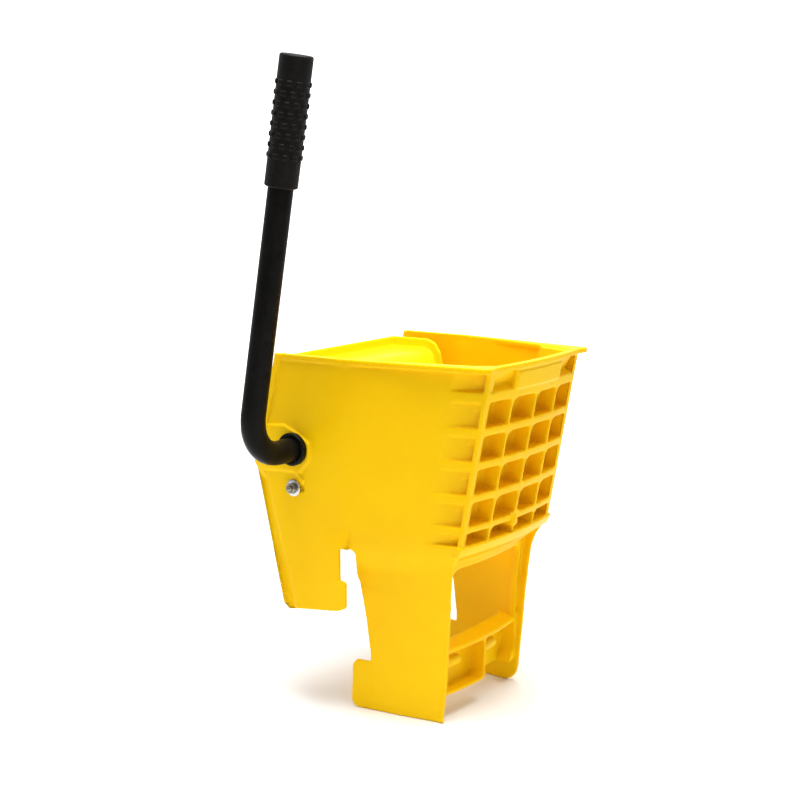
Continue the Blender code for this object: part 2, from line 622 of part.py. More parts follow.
# --------------------------------------------------------------- grip
grip_prof = [(TUBE_BORE, 0), (15.6, 0), (16.8, 2.0), (GRIP_R, 5.0), (GRIP_R, GRIP_LEN - 4), (15.8, GRIP_LEN - 1),
             (14.0, GRIP_LEN), (0.001, GRIP_LEN), (0.001, GRIP_LEN - 4.4)]
bm = bmesh.new()
NSEG = 32
base = top - up * (GRIP_LEN - 4.0 - 0.0)
u = Vector((cos(radians(LEAN)), 0, -sin(radians(LEAN))))
v = Vector((0, 1, 0))
prof = [(TUBE_R + GAP / 2, 0), (15.6, 0), (16.8, 2.0), (GRIP_R, 5.0), (GRIP_R, GRIP_LEN - 4),
        (15.8, GRIP_LEN - 1.2), (14.2, GRIP_LEN)]
rows = []
for r, h in prof:
    rows.append([bm.verts.new(base + up * h + (u * cos(2 * pi * k / NSEG) + v * sin(2 * pi * k / NSEG)) * r)
                 for k in range(NSEG)])
inner = [bm.verts.new(base + up * (GRIP_LEN - 6.5) + (u * cos(2 * pi * k / NSEG) +
                      v * sin(2 * pi * k / NSEG)) * (TUBE_R + GAP / 2)) for k in range(NSEG)]
for a, b in list(zip(rows, rows[1:])):
    for k in range(NSEG):
        l = (k + 1) % NSEG
        bm.faces.new((a[k], a[l], b[l], b[k]))
for k in range(NSEG):
    l = (k + 1) % NSEG
    bm.faces.new((rows[0][l], rows[0][k], inner[k], inner[l]))
bm.faces.new(rows[-1])
bm.faces.new(inner)
grip = obj_from_bm(bm, "handle_grip")
finish(grip, "handle_grip", M_GRIP, SHAFT_O)

# --------------------------------------------------------------- bushings, shaft end
for s, side in ((-1, "near"), (1, "far")):
    y_pad = PLATE_Y + 2.5
    prof = [(TUBE_R + RUN, s * (PLATE_Y - PLATE_T - 4)), (14.9, s * (PLATE_Y - PLATE_T - 4)),
            (14.9, s * (y_pad + GAP)), (17.5, s * (y_pad + GAP)), (17.5, s * (y_pad + 5.5)),
            (16.5, s * (y_pad + 6.5)), (TUBE_R + RUN, s * (y_pad + 6.5))]
    b = lathe_y("bushing_" + side, SHAFT[0], SHAFT[1], prof, 40)
    finish(b, "bushing_" + side, M_BUSH)
y0 = PLATE_Y + 2.5 + 6.5 + GAP
w = lathe_y("shaft_washer", SHAFT[0], SHAFT[1], [(TUBE_R + 0.2, y0), (17.0, y0), (17.0, y0 + 1.8),
                                                 (TUBE_R + 0.2, y0 + 1.8)], 32)
finish(w, "shaft_washer", M_ZINC, SHAFT_O)
c = prism_z("cotter_pin", [(SHAFT[0] + 1.8 * cos(a), COTTER_Y + 1.8 * sin(a)) for a in
                           [2 * pi * k / 12 for k in range(12)]], SHAFT[1] - 17.5, SHAFT[1] + 17.5, False)
finish(c, "cotter_pin", M_ZINC, SHAFT_O)

# --------------------------------------------------------------- cross rod, washers, nuts
rod = cyl_y("cross_rod", ROD[0], ROD[1], ROD_R, -133.0, 133.0, 20, cutter=False)
finish(rod, "cross_rod", M_ZINC)
for s, side in ((-1, "near"), (1, "far")):
    y0 = PLATE_Y + GAP
    w = lathe_y("rod_washer_" + side, ROD[0], ROD[1],
                [(ROD_R + 0.2, s * y0), (9.0, s * y0), (9.0, s * (y0 + 1.6)), (ROD_R + 0.2, s * (y0 + 1.6))], 28)
    finish(w, "rod_washer_" + side, M_ZINC)
    y1 = y0 + 1.6 + GAP
    nut = prism_y("rod_nut_" + side, circle(5.77, 6, ROD[0], ROD[1], pi / 6), s * y1, s * (y1 + 5.0), False)
    boolean(nut, [cyl_y("nut_bore", ROD[0], ROD[1], ROD_R + 0.1, -150, 150, 20)], 'DIFFERENCE')
    finish(nut, "rod_nut_" + side, M_ZINC)

# --------------------------------------------------------------- return springs
WIRE = 0.9
COIL_R = 5.0
A0 = Vector((ROD[0], 0, ROD[1]))
A1 = Vector((45.0, 0, 290.0))
for s, side in ((-1, "near"), (1, "far")):
    axis = (A1 - A0).normalized()
    side_v = Vector((0, 1, 0))
    third = axis.cross(side_v)
    L = (A1 - A0).length
    hook = 4.7
    path = []
    # hook round the cross rod
    for k in range(11):
        a = radians(-150 + 300 * k / 10.0)
        path.append(A0 + axis * (-hook * cos(a)) + third * (-hook * sin(a)) +
                    side_v * (0.0))
    body0, body1 = 12.0, L - 12.0
    turns = 10
    steps = turns * 9
    for k in range(steps + 1):
        a = 2 * pi * turns * k / steps
        path.append(A0 + axis * (body0 + (body1 - body0) * k / steps) +
                    third * (-COIL_R * cos(a)) + side_v * (COIL_R * sin(a)))
    for k in range(11):
        a = radians(-150 + 300 * k / 10.0)
        path.append(A1 + axis * (hook * cos(a)) + third * (hook * sin(a)))
    path = [p + side_v * s * 55.0 for p in path]
    sp = sweep("return_spring_" + side, path[:-1], path[-1], WIRE, 5, False)
    finish(sp, "return_spring_" + side, M_SPRING)

# --------------------------------------------------------------- to metres and to the row origin
for ob in list(cutters.objects):
    bpy.data.objects.remove(ob)
for ob in main.objects:
    ob.data.transform(Matrix.Scale(MM, 4))
    ob.location = (ob.location + Vector(SHIFT)) * MM
bpy.context.view_layer.update()
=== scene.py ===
"""Looks for the side-press mop wringer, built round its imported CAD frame.

Metres, row frame: +X is the ribbed front wall, -Y the side with the handle, +Z up.
Sizes below are written in millimetres of a working frame (x = 0 close to the cross rod, y = 0 in
the middle plane, z = 0 under the legs) unless they say metres; P() carries them to the row frame.
"""
from math import sin, cos, tan, pi, radians, atan2, acos

import bmesh
import bpy
import numpy as np
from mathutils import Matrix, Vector


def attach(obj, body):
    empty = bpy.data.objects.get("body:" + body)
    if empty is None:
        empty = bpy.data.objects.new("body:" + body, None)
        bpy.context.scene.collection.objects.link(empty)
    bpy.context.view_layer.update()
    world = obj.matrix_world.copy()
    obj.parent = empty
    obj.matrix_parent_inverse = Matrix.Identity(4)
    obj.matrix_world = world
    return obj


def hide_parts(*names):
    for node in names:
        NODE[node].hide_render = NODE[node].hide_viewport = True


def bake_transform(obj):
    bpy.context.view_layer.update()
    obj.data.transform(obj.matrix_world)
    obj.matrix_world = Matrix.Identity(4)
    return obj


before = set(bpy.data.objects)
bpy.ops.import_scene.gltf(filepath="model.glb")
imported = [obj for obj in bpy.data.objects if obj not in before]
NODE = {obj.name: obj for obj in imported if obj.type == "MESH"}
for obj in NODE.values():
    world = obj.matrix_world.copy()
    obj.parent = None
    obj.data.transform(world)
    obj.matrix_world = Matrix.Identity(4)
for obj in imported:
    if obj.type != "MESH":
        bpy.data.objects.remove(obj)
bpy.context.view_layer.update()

MM = 0.001
SHIFT = Vector((-87.6, 38.0, 0.0))      # working frame to row frame
PLATE_Y = 122.0                         # outer face of a side plate
SHAFT = Vector((2.5, 0.0, 282.5))       # axis of the handle's shaft
ROD = Vector((0.5, 0.0, 240.0))         # axis of the cross rod
SIDES = ((-1, "near"), (1, "far"))


def P(x, y, z):
    return (Vector((x, y, z)) + SHIFT) * MM


# ------------------------------------------------------------------ small mesh tools
def make(name, verts, faces):
    me = bpy.data.meshes.new(name)
    me.from_pydata([tuple(v) for v in verts], [], faces)
    bm = bmesh.new()
    bm.from_mesh(me)
    bmesh.ops.recalc_face_normals(bm, faces=bm.faces)
    for f in bm.faces:
        f.smooth = True
    bm.to_mesh(me)
    bm.free()
    ob = bpy.data.objects.new(name, me)
    bpy.context.scene.collection.objects.link(ob)
    return ob


def skin_rings(name, ring_list, close_loop=False):
    """Quads through rings of points with equal counts; an open run gets an end cap at each end."""
    n = len(ring_list[0])
    verts = [v for r in ring_list for v in r]
    faces = []
    m = len(ring_list)
    for i in range(m if close_loop else m - 1):
        a, b = i * n, ((i + 1) % m) * n
        faces += [(a + k, a + (k + 1) % n, b + (k + 1) % n, b + k) for k in range(n)]
    if not close_loop:
        faces += [tuple(range(n)), tuple(range((m - 1) * n, m * n))]
    return make(name, verts, faces)


def lathe(name, centre, profile, n=72):
    """Closed (radius, y) profile turned about a Y axis through centre; radii in mm."""
    rows = []
    for i in range(n):
        a = 2 * pi * i / n
        rows.append([P(centre.x + r * cos(a), y, centre.z + r * sin(a)) for r, y in profile])
    return skin_rings(name, rows, close_loop=True)


def rounded(profile, radius, seg=4):
    """Rounds the corners of a closed profile; radius is one number or one per corner."""
    out = []
    n = len(profile)
    for i, p in enumerate(profile):
        r = radius[i] if isinstance(radius, (list, tuple)) else radius
        p = Vector(p)
        a, b = Vector(profile[i - 1]) - p, Vector(profile[(i + 1) % n]) - p
        if r <= 0:
            out.append(tuple(p))
            continue
        la, lb = a.length, b.length
        a.normalize()
        b.normalize()
        half = acos(max(-1.0, min(1.0, a.dot(b)))) / 2
        d = min(r / tan(half), la * 0.48, lb * 0.48)
        rr = d * tan(half)
        c = p + (a + b).normalized() * (rr / sin(half))
        t0, t1 = p + a * d - c, p + b * d - c
        a0 = atan2(t0.y, t0.x)
        da = (atan2(t1.y, t1.x) - a0 + pi) % (2 * pi) - pi
        out += [(c.x + rr * cos(a0 + da * k / seg), c.y + rr * sin(a0 + da * k / seg))
                for k in range(seg + 1)]
    return out


def sweep(name, path, radius, n):
    """Round tube along a list of points in mm; radius may be a number or a list."""
    pts = [Vector(p) for p in path]
    u = Vector((1, 0, 0))
    rows = []
    for i, p in enumerate(pts):
        t = (pts[min(i + 1, len(pts) - 1)] - pts[max(i - 1, 0)]).normalized()
        if abs(t.dot(u)) > 0.98:
            u = Vector((0, 0, 1))
        u = (u - t * u.dot(t)).normalized()
        v = t.cross(u)
        r = radius[i] if isinstance(radius, list) else radius
        rows.append([P(*(p + (u * cos(2 * pi * k / n) + v * sin(2 * pi * k / n)) * r))
                     for k in range(n)])
    return skin_rings(name, rows)


def cad_copy(node, name):
    """The CAD mesh of a node as a new object, with its loose corners welded."""
    ob = bpy.data.objects.new(name, NODE[node].data.copy())
    bpy.context.scene.collection.objects.link(ob)
    ob.data.materials.clear()
    bm = bmesh.new()
    bm.from_mesh(ob.data)
    bmesh.ops.remove_doubles(bm, verts=bm.verts, dist=1e-6)
    bm.to_mesh(ob.data)
    bm.free()
    return ob


def bake(ob):
    """Replaces the mesh by its evaluated one and drops the modifiers."""
    dg = bpy.context.evaluated_depsgraph_get()
    me = bpy.data.meshes.new_from_object(ob.evaluated_get(dg))
    ob.modifiers.clear()
    old = ob.data
    ob.data = me
    bpy.data.meshes.remove(old)
    return ob


def join(name, objs):
    """One object with the meshes of several, which are then gone."""
    bm = bmesh.new()
    for o in objs:
        bm.from_mesh(o.data)
    me = bpy.data.meshes.new(name)
    bm.to_mesh(me)
    bm.free()
    for o in objs:
        bpy.data.objects.remove(o)
    ob = bpy.data.objects.new(name, me)
    bpy.context.scene.collection.objects.link(ob)
    return ob


VOXEL = 1.0          # mm
ROUNDING = 7         # smoothing passes


def mould(ob, keep, shape=None):
    """Moulded look: voxel surface with every edge rounded, then thinned to a share of its faces.

    shape(w, nrm) may move the points w, in mm of the working frame, before the thinning.
    """
    mod = ob.modifiers.new("voxel", "REMESH")
    mod.mode = "VOXEL"
    mod.voxel_size = VOXEL * MM
    sm = ob.modifiers.new("round", "SMOOTH")
    sm.factor = 0.5
    sm.iterations = ROUNDING
    bake(ob)
    if shape:
        me = ob.data
        co = np.empty(len(me.vertices) * 3, np.float32)
        me.vertices.foreach_get("co", co)
        co = co.reshape(-1, 3).astype(float)
        w = co / MM - np.array(SHIFT)
        nrm = np.empty(len(me.vertices) * 3, np.float32)
        me.vertices.foreach_get("normal", nrm)
        shape(w, nrm.reshape(-1, 3))
        co = (w + np.array(SHIFT)) * MM
        me.vertices.foreach_set("co", co.astype(np.float32).ravel())
        me.update()
    de = ob.modifiers.new("thin", "DECIMATE")
    de.ratio = keep
    bake(ob)
    ob.data.polygons.foreach_set("use_smooth", [True] * len(ob.data.polygons))
    return ob


# ------------------------------------------------------------------ materials
class Nodes:
    """Short hand for building one material's node tree."""

    def __init__(self, name):
        self.mat = bpy.data.materials.new(name)
        self.mat.use_nodes = True
        self.t = self.mat.node_tree
        self.bsdf = self.t.nodes["Principled BSDF"]
        self.coord = self.t.nodes.new("ShaderNodeTexCoord").outputs["Object"]

    def link(self, a, b):
        self.t.links.new(a, b)

    def noise(self, scale, detail=3.0, rough=0.5, stretch=None):
        n = self.t.nodes.new("ShaderNodeTexNoise")
        n.inputs["Scale"].default_value = scale
        n.inputs["Detail"].default_value = detail
        n.inputs["Roughness"].default_value = rough
        src = self.coord
        if stretch:
            m = self.t.nodes.new("ShaderNodeMapping")
            m.inputs["Scale"].default_value = stretch
            self.link(src, m.inputs["Vector"])
            src = m.outputs["Vector"]
        self.link(src, n.inputs["Vector"])
        return n.outputs["Fac"]

    def ramp(self, fac, stops):
        r = self.t.nodes.new("ShaderNodeValToRGB")
        el = r.color_ramp.elements
        while len(el) < len(stops):
            el.new(0.5)
        for e, (pos, col) in zip(el, stops):
            e.position = pos
            e.color = (*col, 1.0)
        self.link(fac, r.inputs["Fac"])
        return r.outputs["Color"]

    def span(self, fac, lo, hi):
        """Carries the useful range of a noise to lo..hi."""
        m = self.t.nodes.new("ShaderNodeMapRange")
        m.inputs["From Min"].default_value = 0.3
        m.inputs["From Max"].default_value = 0.7
        m.inputs["To Min"].default_value = lo
        m.inputs["To Max"].default_value = hi
        self.link(fac, m.inputs["Value"])
        return m.outputs["Result"]

    def bump(self, layers):
        """Chained bumps: (height, strength, distance in metres)."""
        prev = None
        for h, strength, dist in layers:
            b = self.t.nodes.new("ShaderNodeBump")
            b.inputs["Strength"].default_value = strength
            b.inputs["Distance"].default_value = dist
            self.link(h, b.inputs["Height"])
            if prev:
                self.link(prev, b.inputs["Normal"])
            prev = b.outputs["Normal"]
        self.link(prev, self.bsdf.inputs["Normal"])

    def set(self, **kw):
        for key, value in kw.items():
            self.bsdf.inputs[key.replace("_", " ")].default_value = value


def plastic(name, deep, mid, light, rough, cloud_scale):
    """Moulded plastic: slow clouds of tone, fine grain and a little flow from the mould."""
    m = Nodes(name)
    cloud = m.noise(cloud_scale, 4.0, 0.55)
    colour = m.ramp(cloud, [(0.30, deep), (0.52, mid), (0.75, light)])
    m.link(colour, m.bsdf.inputs["Base Color"])
    grain = m.noise(950.0, 2.0, 0.6)
    flow = m.noise(28.0, 3.0, 0.5, (1.0, 1.0, 0.45))
    m.link(m.span(m.noise(70.0, 4.0, 0.6), rough - 0.05, rough + 0.06),
           m.bsdf.inputs["Roughness"])
    m.bump([(flow, 0.10, 0.0012), (grain, 0.16, 0.00009)])
    m.set(IOR=1.46, Specular_IOR_Level=0.08, Subsurface_Weight=0.08,
          Subsurface_Radius=(1.0, 0.45, 0.05), Subsurface_Scale=0.003)
    return m.mat


def metal(name, base, rough, brush=(1.0, 1.0, 1.0)):
    """Bare metal with a fine grain, drawn out along an axis by brush."""
    m = Nodes(name)
    tone = m.noise(240.0, 5.0, 0.65)
    m.link(m.ramp(tone, [(0.3, tuple(c * 0.72 for c in base)), (0.7, base)]),
           m.bsdf.inputs["Base Color"])
    fine = m.noise(900.0, 3.0, 0.6, brush)
    m.link(m.span(fine, rough - 0.08, rough + 0.12), m.bsdf.inputs["Roughness"])
    m.bump([(fine, 0.15, 0.00006)])
    m.set(Metallic=1.0)
    return m.mat


def powder_black():
    """Powder coat with a slight orange peel."""
    m = Nodes("black_powder_coat")
    tone = m.noise(60.0, 5.0, 0.6)
    m.link(m.ramp(tone, [(0.3, (0.004, 0.0037, 0.0033)), (0.75, (0.009, 0.0084, 0.0078))]),
           m.bsdf.inputs["Base Color"])
    peel = m.noise(420.0, 2.0, 0.5)
    m.link(m.span(m.noise(150.0, 4.0, 0.6), 0.28, 0.38), m.bsdf.inputs["Roughness"])
    m.bump([(peel, 0.22, 0.00012)])
    m.set(Specular_IOR_Level=0.05)
    return m.mat


def rubber_black(name, rough, base):
    """Matt black vinyl or nylon."""
    m = Nodes(name)
    tone = m.noise(120.0, 5.0, 0.65)
    m.link(m.ramp(tone, [(0.3, base), (0.8, tuple(c * 2.0 for c in base))]),
           m.bsdf.inputs["Base Color"])
    m.link(m.span(m.noise(300.0, 4.0, 0.6), rough - 0.07, rough + 0.08),
           m.bsdf.inputs["Roughness"])
    m.bump([(m.noise(1300.0, 2.0, 0.6), 0.3, 0.00008)])
    m.set(Specular_IOR_Level=0.09)
    return m.mat


M_BODY = plastic("moulded_yellow", (0.91, 0.535, 0.0016), (0.945, 0.575, 0.0020),
                 (0.97, 0.61, 0.0030), 0.36, 7.0)
# Same yellow plastic as the body, given lighter colours as painted light: they stand in for the
# strong top light on the press plate.
M_JAW_PAINTED_LIGHT = plastic("moulded_yellow_press_painted_lit", (0.93, 0.60, 0.0030), (0.96, 0.65, 0.0040),
                (0.98, 0.69, 0.0060), 0.33, 9.0)
M_ZINC = metal("bright_zinc", (0.72, 0.72, 0.70), 0.26)
M_BOLT = metal("threaded_steel", (0.36, 0.35, 0.32), 0.30)
M_SPRING = metal("drawn_spring_wire", (0.60, 0.60, 0.60), 0.30, (1.0, 0.2, 1.0))
M_TUBE = powder_black()
M_GRIP = rubber_black("black_grip_vinyl", 0.46, (0.006, 0.0054, 0.0048))
M_BUSH = rubber_black("black_nylon_bushing", 0.30, (0.004, 0.004, 0.0038))
M_GEAR = rubber_black("black_gear_nylon", 0.42, (0.014, 0.014, 0.013))


def dress(ob, mat, body, replaces=()):
    """Gives a piece its material and body, and hides the CAD nodes it stands for."""
    ob.data.materials.clear()
    ob.data.materials.append(mat)
    if body:
        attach(ob, body)
    if replaces:
        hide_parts(*replaces)
    return ob


# ------------------------------------------------------------------ hopper
# outer skin of a side wall, seen from above at several heights: z, then x and y of the crease
# beside the plate, of the next crease, and of the edge at the ribbed wall
WALL = np.array([(382, 60, 122, 82, 119.5, 223, 92), (300, 60, 122, 82, 118.5, 208, 92),
                 (215, 60, 121.6, 82, 116.5, 192.3, 92), (197, 60, 121, 82, 115, 189, 92),
                 (184, 61, 119, 83, 111.5, 184, 90), (172, 63, 112, 85, 104, 177, 86.5),
                 (159, 63, 102, 88, 96.5, 173, 84.5), (140, 65, 94, 100, 91.3, 171, 83),
                 (107, 68, 89, 105, 87.2, 168.3, 81), (65, 74, 88, 107, 86, 165.3, 80),
                 (30, 74, 88, 107, 85.9, 162, 79.6), (0, 74, 88, 107, 85.6, 159, 79)], float)[::-1]


def wall_line(x, z):
    """Outer skin of the side wall: y over x, piecewise straight, at each height."""
    k = [np.interp(z, WALL[:, 0], WALL[:, i]) for i in range(1, 7)]
    back = np.where(z > 160, k[1], k[1] - (k[3] - k[1]) / (k[2] - k[0]) * (k[0] - x))
    first = k[1] + (k[3] - k[1]) * (x - k[0]) / (k[2] - k[0])
    second = k[3] + (k[5] - k[3]) * (x - k[2]) / (k[4] - k[2])
    return np.where(x < k[0], back, np.where(x < k[2], first, second))


def wall_smooth(x, z, reach):
    """The same skin with its creases averaged out, over reach along the wall and 5 mm up it."""
    return np.mean([wall_line(x + dx, z + dz) for dx in np.linspace(-reach, reach, 9)
                    for dz in np.linspace(-5.0, 5.0, 5)], axis=0)


FRONT_X, FRONT_Z, FRONT_LEAN = 189.0, 197.0, 0.184      # foot of the ribbed wall, and its lean


def front_x(z):
    """Outer face of the ribbed wall."""
    return FRONT_X + (z - FRONT_Z) * FRONT_LEAN


def ease(f):
    return f * f * (3 - 2 * f)


def flare_front(w):
    """Thins the top of the ribbed wall towards its front skin, so the mouth flares out."""
    flare_z, thick, reach = 346.0, 24.0, 60.0
    x, ay, z = w[:, 0], np.abs(w[:, 1]), w[:, 2]
    d = front_x(z) - x
    f = ease(np.clip((z - flare_z) / 33.0, 0, 1)) * np.clip((90.0 - ay) / 12.0, 0, 1)
    near = (d > 0) & (d < reach) & (z > flare_z)
    pull = np.where(d < thick, d, thick * (reach - d) / (reach - thick))
    w[near, 0] += (0.80 * f * pull)[near]
    lip = (d < 0) & (z > 373) & (x > 200)
    w[lip, 0] += (0.55 * d * np.clip((96.0 - ay) / 14.0, 0, 1))[lip]


def slope_back_edge(w):
    """Turns the strip along the back edge of each side plate away, like a rolled edge."""
    top_z, depth = 262.0, 4.2
    x, ay, z = w[:, 0], np.abs(w[:, 1]), w[:, 2]
    # distance in from the leaning back edge of the plate
    e = (x + 52.6 - (269.5 - z) * 0.2656) * 0.9665
    on = (ay > PLATE_Y - 1.4) & (e > -3) & (e < 15.0) & (z < top_z)
    turn = np.clip((14.0 - e) / 13.0, 0, 1)
    low = np.clip((top_z - z) / 18.0, 0, 1)
    target = np.minimum(ay, PLATE_Y) - depth * ease(turn)
    w[on, 1] = (np.sign(w[:, 1]) * (ay + (target - ay) * low))[on]


def bow_front(w):
    """Bows the ribbed wall and the frame under it outward between their two sides."""
    rise = 7.6
    x, y, z = w[:, 0], w[:, 1], w[:, 2]
    half = np.interp(z, [176, 190], [79.0, 92.0])
    bow = rise * np.clip(1 - (y / half) ** 2, 0, 1) * np.clip((z + 10) / 40, 0, 1)
    d = front_x(z) - x
    upper = np.clip((46.0 - d) / 20.0, 0, 1)
    lower = np.clip((x - 128.0) / 14.0, 0, 1)
    t = np.clip((z - 176) / 14, 0, 1)
    w[:, 0] += bow * (upper * t + lower * (1 - t))


def widen_far_cells(w):
    """The end cells of the far side run out to their corner flange."""
    x, y, z = w[:, 0], w[:, 1], w[:, 2]
    d = front_x(z) - x
    g = np.interp(y, [60.0, 79.5, 92.0], [0.0, 8.0, 0.0]) * np.clip((d - 1.2) / 1.6, 0, 1)
    on = (d > 0.8) & (d < 21.5) & (z > 192) & (z < 377) & (y > 60) & (y < 92)
    w[on, 1] += g[on]


def soften_bends(w, nrm):
    """Turns the creases of the side walls into wide soft bends, and lays the outer skin flat."""
    x, z, ay = w[:, 0], w[:, 2], np.abs(w[:, 1])
    side = np.sign(w[:, 1])
    line = wall_line(x, z)
    crease = np.interp(z, WALL[:, 0], WALL[:, 1])
    edge = np.interp(z, WALL[:, 0], WALL[:, 5])
    first_x, top_z, front_gap = 38, 375, 3
    above_slot = (x > 54) & (x < 80) & (z > 180) & (z < 250)
    inside = (ay > line - 6) & (ay < line + 2.6 + 3.4 * above_slot)
    inside &= (x > first_x) & (x < edge - front_gap) & (z < top_z)
    inside &= (z > 185) | (x > crease - 6)
    idx = np.where(inside)[0]
    x, ay, z, side = x[idx], ay[idx], z[idx], side[idx]
    line, crease, edge = line[idx], crease[idx], edge[idx]
    upper = np.clip((z - 120) / 60, 0, 1)
    soft = wall_smooth(x, z, 13.0) * upper + wall_smooth(x, z, 6.0) * (1 - upper)
    fade = np.clip((x - first_x) / 10, 0, 1) * np.clip((edge - front_gap - x) / 10, 0, 1)
    fade *= np.clip((top_z - z) / 4, 0, 1) * np.clip(z / 10, 0, 1)
    # nothing moves right over the slot, where the plate ends
    fade *= np.maximum(np.clip((z - 184) / 18, 0, 1), np.clip((x - 60) / 14, 0, 1))
    # points of the outer skin go to the soft line itself, all others move along with it
    outer = nrm[idx, 1] * side > np.where((x < 92) & (x > 52), 0.2, 0.8)
    outer &= ay > line - 1.2
    outer &= np.where(z > 186, (x < edge - 52) & (x > 44), x > crease + 3)
    moved = ay + (soft - line) * fade
    snapped = ay + (soft - ay) * fade
    w[idx, 1] = side * np.where(outer, snapped, moved)


def shape_hopper(w, nrm):
    soften_bends(w, nrm)
    widen_far_cells(w)
    flare_front(w)
    slope_back_edge(w)
    bow_front(w)


# pockets of the ribbed wall: top and height of each row, pitch of the columns
ROWS = [(346.0, 27.0), (311.2, 27.0), (276.4, 27.0), (241.6, 26.0), (209.0, 13.5)]
COL, RIB_HALF, END_Y = 45.75, 1.6, 88.5


def slab(name, outline, y0, y1):
    """Plate between two y, from an (x, z) outline."""
    return skin_rings(name, [[P(x, y, z) for x, z in outline] for y in (y0, y1)])


def front_slab(name, outline, back, out):
    """Piece on the ribbed wall from a (y, z) outline, back mm behind its face to out mm past it."""
    return skin_rings(name, [[P(front_x(z) - back, y, z) for y, z in outline],
                             [P(front_x(z) + out, y, z) for y, z in outline]])


def corner_fill(top, radius, side, y_edge):
    """Rounds one upper corner of a wall pocket; side is -1 at its near end."""
    bite, depth = 0.8, 20.5
    outline = [(y_edge + side * bite, top + bite), (y_edge + side * bite, top - radius)]
    for k in range(7):
        a = radians(90) * k / 6
        outline.append((y_edge - side * radius * (1 - cos(a)), top - radius * (1 - sin(a))))
    outline.append((y_edge - side * radius, top + bite))
    return front_slab("fill", outline, depth, -0.25)


def build_hopper():
    ob = cad_copy("hopper_body", "wringer_hopper")
    add = []
    for top, h in ROWS:
        for c in range(4):
            ya = -END_Y if c == 0 else -2 * COL + c * COL + RIB_HALF
            yb = END_Y if c == 3 else -2 * COL + (c + 1) * COL - RIB_HALF
            add.append(corner_fill(top, 9.0 if h > 20 else 6.5, -1, ya))
            add.append(corner_fill(top, 3.0, 1, yb))
    # the side recesses are shallow on the far side
    for top, h in ROWS + [(376.0, 20.0)]:
        rings = []
        for z in (top - h - 0.5, top + 0.5):
            xf = front_x(z)
            rings.append([P(x, float(wall_line(np.array([x]), np.array([z]))[0]) - deep, z)
                          for x, deep in ((xf - 45, 3.5), (xf - 3.4, 11.0),
                                          (xf - 3.4, 1.4), (xf - 45, 0.5))])
        add.append(skin_rings("far_fill", rings))
    # a skin behind the slotted hole of the cross rod
    plug = rounded([(-6, 234.5), (16, 234.5), (16, 245.5), (-6, 245.5)], 2.0, 3)
    for side in (-1, 1):
        add.append(slab("plug", plug, side * (PLATE_Y - 4.4), side * (PLATE_Y - 2.6)))
    # round button on the bottom row, with the small arch over it
    y0, z0 = -4, 208
    add.append(sweep("button", [(front_x(z0) + dx, y0, z0) for dx in (-20, -2, 2.6, 3.8)],
                     [5.8, 5.6, 5.2, 3.8], 24))
    arch = [(front_x(211) - 0.6, 2 + 8.0 * cos(radians(a)), 209 + 9.5 * sin(radians(a)))
            for a in range(0, 181, 15)]
    add.append(sweep("arch", arch, 1.7, 10))
    # raised plain pad between the two end cells of the top row
    pad = rounded([(-44, 355.5), (44, 355.5), (44, 376.0), (-44, 376.0)], 2.0, 3)
    add.append(front_slab("pad", pad, 3, 1.3))
    # moulding nib under the front of the near leg
    add.append(sweep("nib", [(155, -78.0, 2.6), (159.5, -79.0, 2.2), (162.0, -79.6, 2.0)], 1.6, 10))
    return mould(join("wringer_hopper", [ob] + add), 0.28, shape_hopper)


hopper = build_hopper()
dress(hopper, M_BODY, "frame", ["hopper_body"])


# ------------------------------------------------------------------ press plate
# the press plate gets the lighter yellow, painted light standing in for the strong top light on it
jaw = mould(cad_copy("press_plate", "wringer_press_plate"), 0.35)
dress(jaw, M_JAW_PAINTED_LIGHT, "jaw", ["press_plate"])

# ------------------------------------------------------------------ handle tube and grip
HANDLE_Y, BEND_R, LEAN, HANDLE_TOP = -199.0, 50.0, 9.7, 681.0
TUBE_R = 12.7
UP = Vector((sin(radians(LEAN)), 0, cos(radians(LEAN))))


def handle_path():
    """Centre line of the tube, far end of the shaft first, and the top of the grip's axis."""
    out = Vector((0, -1, 0))
    corner = Vector((SHAFT.x, HANDLE_Y, SHAFT.z))
    c = corner - out * BEND_R + UP * BEND_R
    pts = [Vector((SHAFT.x, y, SHAFT.z)) for y in (140.0, 138.6, 60.0, 0.0, -60.0, -120.0, -140.0)]
    pts += [c + out * BEND_R * sin(radians(90 * k / 24)) - UP * BEND_R * cos(radians(90 * k / 24))
            for k in range(25)]
    top = corner + UP * ((HANDLE_TOP - 4.0 - SHAFT.z) / UP.z)
    arm = pts[-1]
    pts += [arm.lerp(top - UP * 8, k / 6) for k in range(1, 7)]
    return pts, top


PATH, TOP = handle_path()
tube = sweep("wringer_handle_tube", PATH, [TUBE_R - 0.5] + [TUBE_R] * (len(PATH) - 1), 56)
dress(tube, M_TUBE, "handle", ["handle_tube"])


